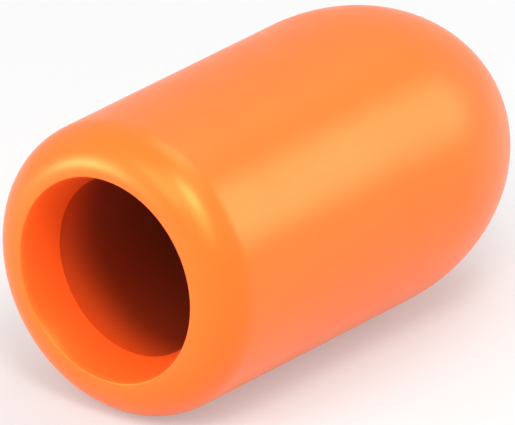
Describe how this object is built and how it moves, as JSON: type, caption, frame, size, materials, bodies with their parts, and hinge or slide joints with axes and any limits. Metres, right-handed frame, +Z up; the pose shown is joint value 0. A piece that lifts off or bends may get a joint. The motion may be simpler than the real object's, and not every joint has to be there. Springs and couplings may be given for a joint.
{
  "type": "twist-on wire connector",
  "caption": "Smooth capsule-shaped insulating cap with a flared open mouth, a steel sleeve inside, and a tapered square-wire spring that twists onto bare wire ends to join them.",
  "frame": {"origin": "lowest line of the connector as it lies on its side, below the middle of its length and width", "axes": "+Y along the connector's axis from the open mouth to the domed end, +Z up, +X to the right when looking along +Y"},
  "size_m": [0.012, 0.0222, 0.012],
  "materials": {
    "cover_plastic": "satin moulded soft plastic, orange",
    "sleeve_steel": "drawn steel, dull zinc",
    "spring_steel": "bright zinc-plated spring wire"
  },
  "bodies": {
    "cover": {"insulating_cover": "cover_plastic", "steel_sleeve": "sleeve_steel"},
    "spring": {"grip_spring": "spring_steel"}
  },
  "joints": [
    {"name": "spring_turn", "type": "hinge", "parent": "cover", "child": "spring", "pos_m": [0, 0.00794, 0.00599], "axis": [0, 1, 0], "range_deg": [0, 26]}
  ]
}
